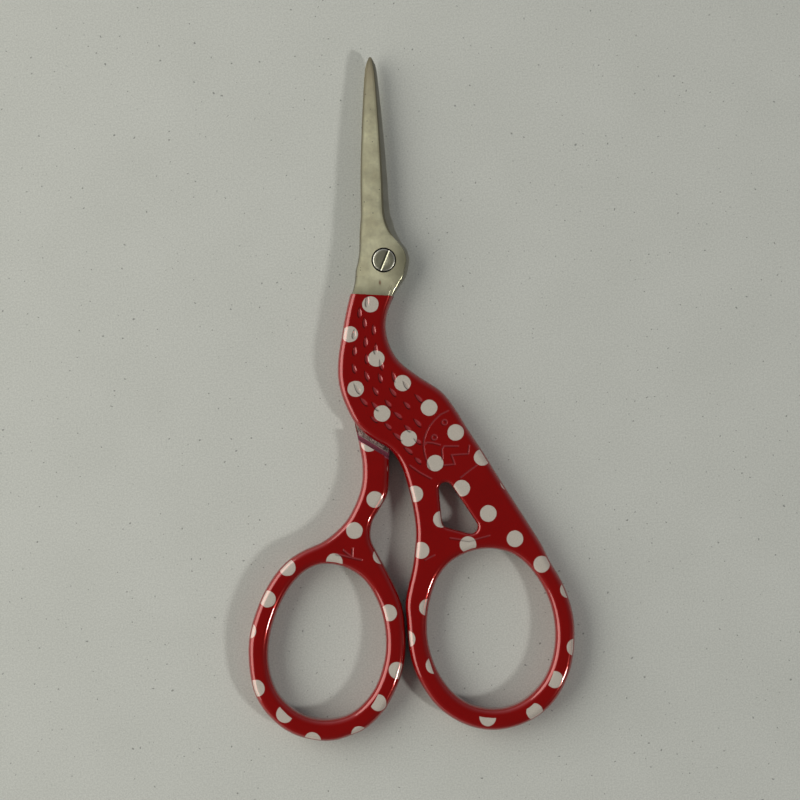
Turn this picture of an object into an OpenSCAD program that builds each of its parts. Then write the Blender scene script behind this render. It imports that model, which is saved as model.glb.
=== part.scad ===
// Embroidery scissors in the shape of a stork, closed, lying on their back.
// The origin is on the pivot axis, in the plane that they rest on.
// +Y points to the tips, +X to the right finger loop, +Z up to the screw's head.

/* [Blades] */
// Length from the pivot to the tips
blade_l = 34.3; // [28:0.1:40]
// Width of one blade at its root, just above the pivot
blade_w = 3.85; // [3.4:0.05:4.2]
// Width of one blade close to its tip
tip_w = 1.75; // [1.4:0.05:2.1]
// Width of the blunted point
point_w = 0.4; // [0.3:0.05:0.6]
// Thickness of one blade at the point
point_t = 0.6; // [0.4:0.05:0.9]
// Thickness left at the cutting edge
edge_t = 0.12; // [0.08:0.01:0.2]
// Depth of the hollow ground into each inner face
hollow = 0.06; // [0.03:0.01:0.12]
// How far each blade's edge lies inside the other blade's spine
overlap = 0.95; // [0.6:0.05:1.2]

/* [Halves] */
// Thickness of one half where the halves cross
half_t = 2.1; // [1.8:0.05:2.4]
// Running gap between the two ground faces
lap_gap = 0.1; // [0.06:0.01:0.14]
// Radius of the round boss at the pivot
boss_r = 3.8; // [3.6:0.05:4.2]
// How far the back half's boss stands out past the front one
back_boss_out = 0.45; // [0.3:0.05:0.6]
// Width of the edge rounding on the handles, seen from above
edge_w = 1.15; // [0.8:0.05:1.25]
// Height of the edge rounding on the handles
edge_h = 1.35; // [0.9:0.05:1.5]
// Room between the back half's arm and the front half's shoulder
shoulder_gap = 0.4; // [0.3:0.05:0.6]
// How far the back half's shoulder ledge slopes back from its foot
ledge_run = 0.8; // [0.5:0.05:1.2]

/* [Finger loops] */
// Half width of the right loop's opening
right_hole_a = 10.75; // [10:0.05:11.4]
// Half length of the right loop's opening
right_hole_b = 13.55; // [12.8:0.05:14.2]
// Half width of the left loop's opening
left_hole_a = 9.85; // [9.2:0.05:10.4]
// Half length of the left loop's opening
left_hole_b = 13.1; // [12.4:0.05:13.6]
// Width of the ring round the right opening
right_ring_w = 3.35; // [3:0.05:3.7]
// Width of the ring round the left opening
left_ring_w = 3.2; // [2.9:0.05:3.5]
// Extra width of the right ring at its heel, below and towards the middle
right_heel = 0.3; // [0:0.05:0.6]
// Extra width of the left ring at its heel, below and towards the outside
left_heel = 0.75; // [0:0.05:1]
// How far the right opening's centre lies above its ring's
right_hole_rise = 0.15; // [0:0.05:0.4]
// How far the left opening's centre lies above its ring's
left_hole_rise = 0.3; // [0:0.05:0.4]
// Gap between the closed loops where they come nearest
loop_gap = 0.3; // [0.2:0.05:0.8]

/* [Window] */
// Width of the three-cornered window in the front half
window_w = 5.9; // [5.4:0.1:7.2]
// Height of the window
window_h = 8.8; // [7.6:0.1:9.2]
// Radius of the window's corners
window_r = 1.15; // [0.9:0.05:1.4]
// Width of the bar between the window and the right loop's opening
bar_w = 2.75; // [2.5:0.05:3.4]

/* [Pivot screw] */
// Diameter of the screw's head
head_d = 3.75; // [3.4:0.05:4.1]
// Height of the screw's head
head_h = 0.9; // [0.7:0.05:1.1]
// Diameter of the shoulder that the front half turns on
shoulder_d = 2.4; // [2.2:0.05:2.8]
// Diameter of the screw's end in the back half
end_d = 2; // [1.6:0.05:2.1]
// Radial running clearance round the shoulder
turn_fit = 0.04; // [0.03:0.01:0.08]
// Play under the head, along the pivot axis
head_play = 0.03; // [0.02:0.01:0.06]
// Radial gap round the head in its counterbore
head_gap = 0.15; // [0.1:0.01:0.25]
// Width of the driver slot
slot_w = 0.55; // [0.4:0.05:0.7]
// Depth of the driver slot
slot_deep = 0.5; // [0.3:0.05:0.6]
// Turn of the driver slot from the X axis, in degrees
slot_turn = 64; // [0:1:180]

/* [Printed coat] */
// Thickness of the printed coat on the handles
coat_t = 0.15; // [0.1:0.01:0.2]
// Glue line between the coat and the steel
glue_t = 0.02; // [0.01:0.01:0.04]
// Distance from the pivot down to the coat's upper edge
coat_top = 5.95; // [5.4:0.05:7]
// Lean of the coat's upper edge, in degrees
coat_lean = 6.5; // [0:0.5:10]

/* [Hidden] */
steel = [0.66, 0.64, 0.56];
bright_steel = [0.72, 0.7, 0.62];
red = [0.45, 0.05, 0.05];

// Full thickness of the closed scissors, and the plane of the front half's ground face
thick = 2 * half_t + lap_gap;
front_face_z = half_t + lap_gap;

// The handles' steel lies under the coat and its glue line
skin = coat_t + glue_t;

// Cuts run past the surfaces that they open by this much
past = 1;
// Cutters reach this far where only their near side matters
far = 60;

// Half of an ellipse's extent along X when its long axis leans
function reach(a, b, lean) = sqrt(pow(a * cos(lean), 2) + pow(b * sin(lean), 2));

// Right and left loops: the lean of their long axes, their outer radii and centres
right_lean = 4;
left_lean = -9;
right_a = right_hole_a + right_ring_w;
right_b = right_hole_b + right_ring_w;
left_a = left_hole_a + left_ring_w;
left_b = left_hole_b + left_ring_w;
// The turns at which the rings' heels are widest
right_heel_at = 222;
left_heel_at = 207;
// The closed loops meet on this line, and their lowest points are level
meet_x = -0.2;
loop_end_y = -80.05;
right_at = [meet_x + loop_gap / 2 + reach(right_a, right_b, right_lean),
    loop_end_y + reach(right_b, right_a, right_lean)];
left_at = [meet_x - loop_gap / 2 - reach(left_a, left_b, left_lean),
    loop_end_y + reach(left_b, left_a, left_lean)];
right_hole_at = right_at + [0, right_hole_rise];
left_hole_at = left_at + [0, left_hole_rise];

// Point beside a loop's outer edge, at the turn t and out from the edge
function by_loop(a, b, lean, at, t, out) =
    let (x = (a + out) * cos(t), y = (b + out) * sin(t))
        at + [x * cos(lean) - y * sin(lean), x * sin(lean) + y * cos(lean)];
function by_right(t, out) = by_loop(right_a, right_b, right_lean, right_at, t, out);
function by_left(t, out) = by_loop(left_a, left_b, left_lean, left_at, t, out);

// Edges of the front handle from the boss down the neck and breast into the loop's ring
front_left = [
    [-4.7, -1.5], [-5.45, -3.95], [-6.25, -5.9], [-7.2, -9.15], [-7.9, -12.4], [-8.7, -15.6],
    [-9, -19], [-8.6, -22.05], [-7.5, -25.25], [-6.2, -27.65], [-3.75, -30],
    [-1.15, -31.7], [0.55, -34.3], [1.45, -37.55], [2.2, -41.55],
    by_right(122.6, 4.7), by_right(135, 2), by_right(148, 0.9), by_right(159, 0.55),
    by_right(171, -0.5)];
front_right = [
    [2.9, -2], [2, -4.2], [1.1, -6.1], [0, -9], [-0.38, -11.6], [0.1, -14.4],
    [1.6, -17.1], [4.6, -19.8], [8.15, -22.45], [10.35, -25.4], [12.3, -29.2],
    [13.4, -31.05], [14.5, -32.9], [16.75, -37.1], [17.9, -39.15], [19.05, -41.25],
    by_right(59.3, 2.9), by_right(46.7, 1), by_right(34, 0.05), by_right(23, -0.7)];

// Edges of the back handle from the boss down the hidden arm and the leg into the ring
back_left = [
    [-3.6, -1.5], [-4.6, -4], [-5.5, -6.2], [-6.5, -9.2], [-7.25, -12.4], [-8, -15.6],
    [-8.35, -19], [-8, -22], [-7.15, -25.2], [-6.5, -28.25], [-6.1, -31.4],
    [-5.85, -34.2], [-6.15, -37.4], [-7.3, -40.45], [-9.4, -43.6],
    by_left(98.9, 1.3), by_left(113.6, 0.55), by_left(124, 0.35), by_left(136, 0.1),
    by_left(150, -0.7)];
back_right = [
    [3.4, -1.5], [2.5, -4.2], [1.2, -6.3], [0, -9], [-0.6, -12], [-0.8, -15.5],
    [-0.8, -19], [-0.8, -22.5], [-0.8, -26], [-0.9, -29.8], [-1.2, -33.2],
    [-1.35, -36.2], [-1.85, -39.2], [-3.3, -41.65], [-4.7, -43.85],
    by_left(70.6, 3.3), by_left(64, 1.85), by_left(54.3, 0.8), by_left(42, 0.4),
    by_left(28, -0.6)];
// The front half steps down to the shoulder beside these of the back half's points
arm_from = 7;
arm_to = 11;

// How far the window's right foot lies below its left one, and the left one's shift
window_drop = 1.2;
window_shift = 0.2;
// Centre of the window's top corner, above the bar
window_at = [7.95, right_hole_at.y + right_hole_b + bar_w + window_h - window_r];

// Foot of the shoulder ledge on the back half, and its direction
ledge_foot = [-3.56, -30.57];
ledge_turn = -36.8;

// Curve through the points p, with n steps to each stretch
function between(a, b, c, d, t) =
    0.5 * (2 * b + (c - a) * t + (2 * a - 5 * b + 4 * c - d) * t * t
        + (3 * b - a - 3 * c + d) * t * t * t);
function smooth(p, n = 2) = [
    for (i = [0 : len(p) - 2], k = [0 : n - 1])
        between(p[max(i - 1, 0)], p[i], p[i + 1], p[min(i + 2, len(p) - 1)], k / n),
    p[len(p) - 1]];

function reversed(p) = [for (i = [len(p) - 1 : -1 : 0]) p[i]];
function unit(v) = v / norm(v);
// Outlines run anticlockwise, so outwards is on the right of their direction
function outward(v) = unit([v.y, -v.x]);
function open_normals(p) = [
    for (i = [0 : len(p) - 1]) outward(p[min(i + 1, len(p) - 1)] - p[max(i - 1, 0)])];
function closed_normals(p) = [
    for (i = [0 : len(p) - 1])
        outward(p[(i + 1) % len(p)] - p[(i + len(p) - 1) % len(p)])];

function ellipse(a, b, lean, at, steps = 52) = [
    for (k = [0 : steps - 1]) by_loop(a, b, lean, at, 360 * k / steps, 0)];

// Outer edge of a ring, which swells by heel about the turn heel_at
function heeled(a, b, lean, at, heel, heel_at, steps = 52) = [
    for (k = [0 : steps - 1]) let (t = 360 * k / steps)
        by_loop(a, b, lean, at, t, heel * pow(max(0, cos(t - heel_at)), 5))];

// Corners of radius r about the centres c, taken anticlockwise
function rounded_corners(c, r, steps = 4) = [
    for (i = [0 : len(c) - 1])
        let (
            before = outward(c[i] - c[(i + len(c) - 1) % len(c)]),
            after = outward(c[(i + 1) % len(c)] - c[i]),
            from = atan2(before.y, before.x),
            turn = (atan2(after.y, after.x) - from + 360) % 360)
            for (k = [0 : steps]) c[i] + r * [cos(from + turn * k / steps), sin(from + turn * k / steps)]];

// Outline p moved outwards by grow, at the height z
function ring_at(p, out, grow, z) = [
    for (i = [0 : len(p) - 1]) let (q = p[i] + out[i] * grow) [q.x, q.y, z]];

// Caps of a stack: one face over a round outline, rungs across a long one
function round_cap(n) = [[for (i = [0 : n - 1]) i]];
function rung_caps(n) = [for (i = [0 : n / 2 - 2]) [i, i + 1, n - 2 - i, n - 1 - i]];

// Solid skinned over rings of as many points each, from the lowest to the highest
module stack(rings, caps) {
    n = len(rings[0]);
    last = len(rings) - 1;
    sides = [
        for (j = [0 : last - 1], i = [0 : n - 1])
            let (a = j * n + i, b = j * n + (i + 1) % n)
                each [[a, b + n, b], [a, a + n, b + n]]];
    top = [for (c = caps) [for (k = reversed(c)) k + last * n]];
    polyhedron([for (r = rings) each r], concat(sides, caps, top));
}

// The handles' edge rounding, as steps of [distance in from the side, depth below the face]
edge_turns = [0, 45, 90];
function edge_steps(inset) = [
    for (a = edge_turns) [(edge_w - inset) * (1 - cos(a)), (edge_h - inset) * (1 - sin(a))]];

// Plate as thick as the closed scissors with rounded edges, taken in all over by inset
module rounded_plate(p, out, caps, inset) {
    steps = edge_steps(inset);
    lower = [for (s = reversed(steps)) ring_at(p, out, -inset - s[0], inset + s[1])];
    upper = [for (s = steps) ring_at(p, out, -inset - s[0], thick - inset - s[1])];
    stack(concat(lower, upper), caps);
}

// Opening through such a plate, flared by the same rounding, wider all over by inset
module rounded_opening(p, inset) {
    out = closed_normals(p);
    steps = edge_steps(inset);
    last = len(steps) - 1;
    // The last stretch of the flare goes on beyond the face
    lip = steps[last] + 0.4 * (steps[last] - steps[last - 1]);
    flare = [for (i = [0 : last - 1]) steps[i], lip];
    lower = [for (s = reversed(flare)) ring_at(p, out, inset + s[0], inset + s[1])];
    upper = [for (s = flare) ring_at(p, out, inset + s[0], thick - inset - s[1])];
    stack(concat(lower, upper), round_cap(len(p)));
}

// One handle: the plate between two edges, and the plate round a finger loop
module handle_plate(left, right, loop, inset) {
    l = smooth(left);
    r = reversed(smooth(right));
    rounded_plate(concat(l, r), concat(open_normals(l), open_normals(r)),
        rung_caps(2 * len(l)), inset);
    rounded_plate(loop, closed_normals(loop), round_cap(len(loop)), inset);
}

window = let (
    left_foot = window_at + [window_shift, -(window_h - 2 * window_r - window_drop)],
    right_foot = left_foot + [window_w - 2 * window_r, -window_drop])
    rounded_corners([window_at, left_foot, right_foot], window_r);

module front_handle(inset) {
    difference() {
        handle_plate(front_left, front_right,
            heeled(right_a, right_b, right_lean, right_at, right_heel, right_heel_at), inset);
        rounded_opening(ellipse(right_hole_a, right_hole_b, right_lean, right_hole_at), inset);
        rounded_opening(window, inset);
        front_lap();
    }
}

module back_handle(inset) {
    difference() {
        handle_plate(back_left, back_right,
            heeled(left_a, left_b, left_lean, left_at, left_heel, left_heel_at), inset);
        rounded_opening(ellipse(left_hole_a, left_hole_b, left_lean, left_hole_at), inset);
        back_lap(inset);
    }
}

// Ground away under the front half, where the back half's arm passes
module front_lap() {
    arm = [for (i = [arm_from : arm_to]) back_right[i] + [shoulder_gap, 0]];
    translate([0, 0, -past]) linear_extrude(past + front_face_z)
        polygon(concat([[far, far], [arm[0].x + far / 2, arm[0].y + far / 2]], arm,
            [[-far, arm[len(arm) - 1].y], [-far, far]]));
}

// Ground away over the back half's arm, up to the sloping shoulder ledge.
// The coat covers the slope, so the steel below it is taken back by the inset.
module back_lap(inset) {
    rise = thick - half_t;
    slope = ledge_run / rise;
    back = inset * sqrt(1 + slope * slope);
    translate(ledge_foot) rotate([90, 0, 90 + ledge_turn]) linear_extrude(2 * far, center = true)
        polygon([[-back, half_t], [far, half_t], [far, thick + past],
            [-back - slope * (rise + past), thick + past]]);
}

// Everything above the coat's upper edge, or below it
module above_coat() {
    translate([0, -coat_top, 0]) rotate(-coat_lean)
        translate([-far, 0, -past]) cube([2 * far, 2 * far, thick + 2 * past]);
}
module below_coat() {
    translate([0, -coat_top, 0]) rotate(-coat_lean)
        translate([-far, -2 * far, -past]) cube([2 * far, 2 * far, thick + 2 * past]);
}

// Blades. A row is [distance along the blade, edge, spine, thickness, sharpness],
// with the edge on the right; the back blade's rows are turned over with it.
root_y = 8.5;
near_tip = 3;
tip_x = -0.2;
root_edge_x = 0.5;
blade_rows = 5;

// Along the blade s runs from 0 at the root to 1 near the tip
function along(s) = root_y + s * (blade_l - near_tip - root_y);
function width_at(s) = tip_w + (blade_w - tip_w) * (1 - pow(s, 1.7));
function thickness_at(s) = half_t + (point_t - half_t) * (0.12 + 0.76 * s);
// The front blade's edge bows out a little between its root and its tip
function front_edge_at(s) = root_edge_x - 0.08 * s + 0.6 * s * (1 - s);
function front_spine_at(s) = front_edge_at(s) - width_at(s);
function back_edge_at(s) = front_spine_at(s) + overlap * (1 - 0.6 * s);
function back_spine_at(s) = back_edge_at(s) + width_at(s);

// The last rows run together to the point, spine ahead of edge
function tip_rows(side) = [
    [blade_l - 1.2, side * tip_x + 0.4, side * tip_x - 0.75, 1.15 * point_t, 1],
    [blade_l, side * tip_x + point_w / 2, side * tip_x - point_w / 2, point_t, 1]];

// The boss is round towards the edge, and straight along the spine
boss_turns = [-22, 0, 22, 43];
front_boss_spine = [-4.85, -4.42, -4.12, -3.97];
back_boss_edge = [4.1, 3.9, 3.75, 3.4];
back_boss_r = boss_r + back_boss_out;

front_blade_rows = concat(
    [[-9, 0.2, -6.7, half_t, 0], [-6.1, 1.05, -6, half_t, 0], [-4.3, 2.1, -5.4, half_t, 0],
        [-2.9, 3.05, -5.05, half_t, 0]],
    [for (i = [0 : 3])
        [boss_r * sin(boss_turns[i]), boss_r * cos(boss_turns[i]), front_boss_spine[i], half_t, 0]],
    [[4.4, 1.5, -3.82, half_t, 0.1], [6.3, 0.8, -3.6, 0.97 * half_t, 0.6]],
    [for (k = [0 : blade_rows]) let (s = k / blade_rows)
        [along(s), front_edge_at(s), front_spine_at(s), thickness_at(s), 1]],
    tip_rows(1));

back_blade_rows = concat(
    [[-9, 6.3, -0.1, half_t, 0], [-6.1, 5.5, -1.2, half_t, 0], [-4.3, 4.8, -2.5, half_t, 0],
        [-2.9, 4.4, -3.5, half_t, 0]],
    [for (i = [0 : 3])
        [back_boss_r * sin(boss_turns[i]), back_boss_edge[i], -back_boss_r * cos(boss_turns[i]), half_t, 0]],
    [[4.7, 3, -2.3, half_t, 0.1], [6.3, 2.7, -1.9, 0.97 * half_t, 0.6]],
    [for (k = [0 : blade_rows]) let (s = k / blade_rows)
        [along(s), -back_edge_at(s), -back_spine_at(s), thickness_at(s), 1]],
    tip_rows(-1));

// A section's upper and lower heights across its width, from the spine to the edge
section_at = [1, 0.93, 0.75, 0.5, 0.25, 0.07, 0];
function blade_height(u, t) = u == 1 ? 0.62 * t : edge_t + (t - edge_t) * sin(min(90, 145 * u));
function boss_height(u, t) = (u == 0 || u == 1) ? t - 0.45 : t;
function section(row) = let (x = row[1], w = row[1] - row[2], t = row[3], sharp = row[4])
    concat(
        [for (u = section_at)
            [x - u * w, row[0], sharp * blade_height(u, t) + (1 - sharp) * boss_height(u, t)]],
        [for (u = reversed(section_at)) [x - u * w, row[0], sharp * hollow * 4 * u * (1 - u)]]);

// One blade with its boss, lying on its inner face
module blade(rows) {
    stack([for (row = rows) section(row)], rung_caps(2 * len(section_at)));
}

module front_half() {
    color(steel) difference() {
        union() {
            difference() {
                translate([0, 0, front_face_z]) blade(front_blade_rows);
                below_coat();
            }
            front_handle(skin);
        }
        cylinder(r = shoulder_d / 2 + turn_fit, h = thick + past, $fn = 64);
        translate([0, 0, thick - head_h - head_play])
            cylinder(r = head_d / 2 + head_gap, h = head_h + head_play + past, $fn = 64);
    }
}

module back_half() {
    color(steel) difference() {
        union() {
            difference() {
                translate([0, 0, half_t]) rotate([0, 180, 0]) blade(back_blade_rows);
                below_coat();
            }
            back_handle(skin);
        }
        translate([0, 0, -past]) cylinder(d = end_d, h = half_t + 2 * past, $fn = 64);
    }
}

// The screw: slotted head, shoulder for the front half, and the end set in the back half
rim_chamfer = 0.12;
end_recess = 0.1;
module pivot_screw() {
    color(bright_steel) difference() {
        rotate_extrude($fn = 64) polygon([
            [0, end_recess], [end_d / 2, end_recess], [end_d / 2, half_t], [shoulder_d / 2, half_t],
            [shoulder_d / 2, thick - head_h], [head_d / 2, thick - head_h],
            [head_d / 2, thick - rim_chamfer], [head_d / 2 - rim_chamfer, thick], [0, thick]]);
        rotate(slot_turn) translate([-far / 2, -slot_w / 2, thick - slot_deep])
            cube([far, slot_w, slot_deep + past]);
    }
}

module front_handle_coat() {
    color(red) difference() {
        front_handle(0);
        front_handle(coat_t);
        above_coat();
    }
}

module back_handle_coat() {
    color(red) difference() {
        back_handle(0);
        back_handle(coat_t);
        above_coat();
    }
}

front_half();
back_half();
pivot_screw();
front_handle_coat();
back_handle_coat();
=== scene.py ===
import bpy
import bmesh
import math
import numpy as np
from mathutils import Matrix, Vector


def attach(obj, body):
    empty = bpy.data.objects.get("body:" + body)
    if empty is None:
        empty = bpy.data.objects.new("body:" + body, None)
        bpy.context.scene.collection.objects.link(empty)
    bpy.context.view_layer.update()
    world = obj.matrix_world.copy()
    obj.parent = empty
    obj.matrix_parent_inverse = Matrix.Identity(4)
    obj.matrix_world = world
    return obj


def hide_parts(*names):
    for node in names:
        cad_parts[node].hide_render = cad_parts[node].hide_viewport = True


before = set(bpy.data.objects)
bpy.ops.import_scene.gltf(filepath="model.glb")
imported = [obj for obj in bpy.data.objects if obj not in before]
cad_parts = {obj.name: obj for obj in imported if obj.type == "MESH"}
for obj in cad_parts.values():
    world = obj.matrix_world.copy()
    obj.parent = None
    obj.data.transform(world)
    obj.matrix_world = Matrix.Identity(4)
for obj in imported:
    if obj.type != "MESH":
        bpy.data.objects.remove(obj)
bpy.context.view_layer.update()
print("frame loaded:", sorted(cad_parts))

# Stork embroidery scissors, closed and lying on their back.
# Pieces are worked in millimetres and brought to metres when they are finished.
mm = 0.001

# Both halves share these, as ground and coated: thicknesses in mm
build = {
    "thick": 4.3, "halfThick": 2.1, "groundZ": 2.2,
    "coat": 0.15, "core": 0.17,
    "coatTop": 5.95, "coatLean": 6.5,
}

scene = bpy.context.scene
scene.view_settings.view_transform = "Standard"


# Small helpers
def onlyActive(obj):
    bpy.ops.object.select_all(action="DESELECT")
    obj.select_set(True)
    bpy.context.view_layer.objects.active = obj


def applyAll(obj):
    onlyActive(obj)
    for modifier in list(obj.modifiers):
        bpy.ops.object.modifier_apply(modifier=modifier.name)


def boolean(obj, other, operation="DIFFERENCE"):
    # the other form is used up
    modifier = obj.modifiers.new("boolean", "BOOLEAN")
    modifier.operation = operation
    modifier.object = other
    modifier.solver = "MANIFOLD"
    applyAll(obj)
    bpy.data.objects.remove(other, do_unlink=True)
    return obj


def startEdit(obj):
    onlyActive(obj)
    bpy.ops.object.mode_set(mode="EDIT")
    bpy.ops.mesh.select_all(action="SELECT")


def endEdit(outwards=True):
    if outwards:
        bpy.ops.mesh.select_all(action="SELECT")
        bpy.ops.mesh.normals_make_consistent(inside=False)
    bpy.ops.object.mode_set(mode="OBJECT")


def objectOf(name, mesh):
    obj = bpy.data.objects.new(name, mesh)
    bpy.context.collection.objects.link(obj)
    return obj


def coordsOf(obj, label="co"):
    values = np.zeros(len(obj.data.vertices) * 3)
    obj.data.vertices.foreach_get(label, values)
    return values.reshape(-1, 3)


def setCoords(obj, co):
    obj.data.vertices.foreach_set("co", co.ravel())
    obj.data.update()


def trianglesOf(obj):
    return sum(len(p.vertices) - 2 for p in obj.data.polygons)


def finishPiece(obj, material, node, body, angle=35):
    startEdit(obj)
    bpy.ops.mesh.remove_doubles(threshold=0.0001)
    endEdit(False)
    obj.data.transform(Matrix.Scale(mm, 4))
    obj.data.materials.clear()
    obj.data.materials.append(material)
    bpy.ops.object.shade_smooth_by_angle(angle=math.radians(angle))
    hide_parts(node)
    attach(obj, body)
    print("piece", obj.name, trianglesOf(obj), "triangles")


# Outlines
def between(a, b, c, d, t):
    # a point on the smooth curve from b to c
    return 0.5 * (2 * b + (c - a) * t + (2 * a - 5 * b + 4 * c - d) * t * t + (3 * b - a - 3 * c + d) * t ** 3)


def smoothClosed(points, steps=4):
    p = np.array(points, float)
    around = [np.roll(p, shift, 0) for shift in (1, 0, -1, -2)]
    return np.stack([between(*around, k / steps) for k in range(steps)], 1).reshape(-1, 2)


def outwardOf(p):
    d = np.roll(p, -1, 0) - np.roll(p, 1, 0)
    d /= np.linalg.norm(d, axis=1)[:, None]
    return np.stack([d[:, 1], -d[:, 0]], 1)


def rimRings(p, side, wide, high, inset, steps=9):
    out = outwardOf(p)
    rings = []
    for a in np.radians(np.linspace(90, 0, steps)):
        move = inset + (wide - inset) * (1 - math.cos(a))
        z = inset + (high - inset) * (1 - math.sin(a))
        rings.append(np.c_[p - side * move * out, np.full(len(p), z)])
    upper = [np.c_[r[:, :2], build["thick"] - r[:, 2]] for r in reversed(rings)]
    return rings + upper


def handleForm(name, outline, openings, inset=0.0):
    bm = bmesh.new()
    caps = ([], [])
    for p, side, wide, high in [outline] + openings:
        rings = rimRings(p, side, wide, high, inset)
        made = [[bm.verts.new(tuple(v)) for v in ring] for ring in rings]
        n = len(p)
        for lower, upper in zip(made, made[1:]):
            for i in range(n):
                j = (i + 1) % n
                quad = (lower[i], lower[j], upper[j], upper[i])
                bm.faces.new(quad if side > 0 else quad[::-1])
        for cap, ring in zip(caps, (made[0], made[-1])):
            cap.extend(bm.edges.get((ring[i], ring[(i + 1) % n])) for i in range(n))
    for cap in caps:
        bmesh.ops.triangle_fill(bm, edges=cap, use_beauty=True)
    bmesh.ops.recalc_face_normals(bm, faces=bm.faces)
    mesh = bpy.data.meshes.new(name)
    bm.to_mesh(mesh)
    bm.free()
    return objectOf(name, mesh)


def prism(name, polygon, low, high):
    n = len(polygon)
    verts = [(x, y, low) for x, y in polygon] + [(x, y, high) for x, y in polygon]
    faces = [tuple(range(n))[::-1], tuple(range(n, 2 * n))]
    faces += [(i, (i + 1) % n, n + (i + 1) % n, n + i) for i in range(n)]
    mesh = bpy.data.meshes.new(name)
    mesh.from_pydata([tuple(map(float, v)) for v in verts], [], faces)
    mesh.update()
    obj = objectOf(name, mesh)
    startEdit(obj)
    endEdit()
    return obj


# Front half: neck, breast and body, then the ring, then up the back of the body
frontOutline = [
    (-4.7, -1.5), (-5.44, -3.95), (-6.23, -5.92), (-7.2, -9.14), (-7.92, -12.36), (-8.68, -15.57),
    (-8.99, -19), (-8.6, -22.03), (-7.5, -25.24), (-6.18, -27.66), (-3.75, -29.98), (-1.14, -31.72),
    (0.53, -34.32), (1.46, -37.55), (2.19, -41.56), (2.46, -45.97), (1.77, -50.68), (1.24, -52.95),
    (0.6, -55.06), (-0.04, -57.9), (-0.02, -60.92), (-0.01, -63.87), (0.26, -66.82), (0.96, -69.7),
    (2.17, -72.35), (3.67, -74.78), (5.6, -76.78), (7.81, -78.32), (10.17, -79.39), (12.62, -79.97),
    (15.09, -80.01), (17.51, -79.6), (19.86, -78.77), (22.07, -77.47), (24.04, -75.7), (25.65, -73.48),
    (26.91, -70.96), (27.67, -68.18), (28.06, -65.29), (28.14, -62.35), (27.68, -59.44),
    (26.86, -56.64), (25.95, -54.53), (24.71, -52.25), (23.44, -49.25), (21.35, -45.39),
    (19.04, -41.24), (16.75, -37.13), (14.48, -32.91), (12.32, -29.19), (10.33, -25.44),
    (8.17, -22.43), (4.62, -19.78), (1.58, -17.11), (0.13, -14.39), (-0.38, -11.6), (-0.01, -9.01),
    (1.14, -6.14), (2, -4.2), (2.9, -2), (1.2, -0.4), (-2.6, -0.2)]

# Back half: the hidden arm, the leg and the ring, then up again
backOutline = [
    (-3.6, -1.5), (-4.6, -4), (-5.5, -6.2), (-6.5, -9.2), (-7.25, -12.4), (-8, -15.6), (-8.35, -19),
    (-8, -22), (-7, -25.2), (-6.49, -28.26), (-6.07, -31.42), (-5.83, -34.2), (-6.13, -37.39),
    (-7.3, -40.46), (-9.38, -43.62), (-12.78, -46.3), (-16.44, -47.76), (-18.81, -49),
    (-20.78, -50.64), (-22.48, -52.67), (-23.95, -54.95), (-25.16, -57.44), (-26.16, -60.09),
    (-26.8, -62.88), (-26.98, -65.74), (-26.84, -68.58), (-26.32, -71.36), (-25.18, -73.84),
    (-23.57, -75.95), (-21.72, -77.67), (-19.65, -78.91), (-17.43, -79.65), (-15.19, -80.09),
    (-12.88, -80.03), (-10.6, -79.45), (-8.29, -78.58), (-6.2, -77.1), (-4.36, -75.18),
    (-2.87, -72.88), (-1.66, -70.36), (-0.8, -67.66), (-0.41, -64.84), (-0.36, -62.01),
    (-0.47, -59.22), (-1.02, -56.5), (-2.15, -53.53), (-3.13, -51.38), (-4.23, -48.98),
    (-5.12, -46.49), (-4.69, -43.83), (-3.3, -41.67), (-1.83, -39.23), (-1.38, -36.19), (-1.2, -33.2),
    (-0.9, -29.8), (-0.8, -26), (-0.8, -22.5), (-0.8, -19), (-0.8, -15.5), (-0.6, -12), (0, -9),
    (1.2, -6.3), (2.5, -4.2), (3.4, -1.5), (1.8, -0.2), (-1.6, -0.2)]

# Openings of the two finger loops
rightHole = [
    (24.75, -62.31), (24.13, -58.83), (22.81, -55.64), (21, -52.88), (18.67, -50.77), (15.88, -49.7),
    (13.05, -49.51), (10.29, -50.17), (7.69, -51.61), (5.66, -54.01), (4.33, -57.04), (3.55, -60.39),
    (3.38, -63.91), (3.99, -67.4), (5.24, -70.63), (7.15, -73.33), (9.6, -75.25), (12.34, -76.2),
    (15.07, -76.38), (17.72, -75.74), (20.19, -74.32), (22.33, -72.11), (23.83, -69.19),
    (24.64, -65.84)]
leftHole = [
    (-3.86, -65.43), (-3.73, -62.06), (-4.19, -58.83), (-5.22, -55.91), (-6.74, -53.41),
    (-8.86, -51.65), (-11.35, -50.61), (-14.09, -50.42), (-16.77, -51.49), (-18.97, -53.56),
    (-20.74, -56.14), (-22.18, -59.07), (-23.21, -62.29), (-23.6, -65.69), (-23.26, -69.03),
    (-22.06, -71.99), (-20.09, -74.18), (-17.85, -75.61), (-15.51, -76.31), (-13.05, -76.38),
    (-10.48, -75.74), (-8.08, -74.11), (-6.07, -71.71), (-4.67, -68.72)]

# The three-cornered window in the front half
window = {"wide": 5.9, "high": 8.8, "corner": 1.15, "top": (7.95, -39.06), "drop": 1.2, "shift": 0.2}


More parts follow.
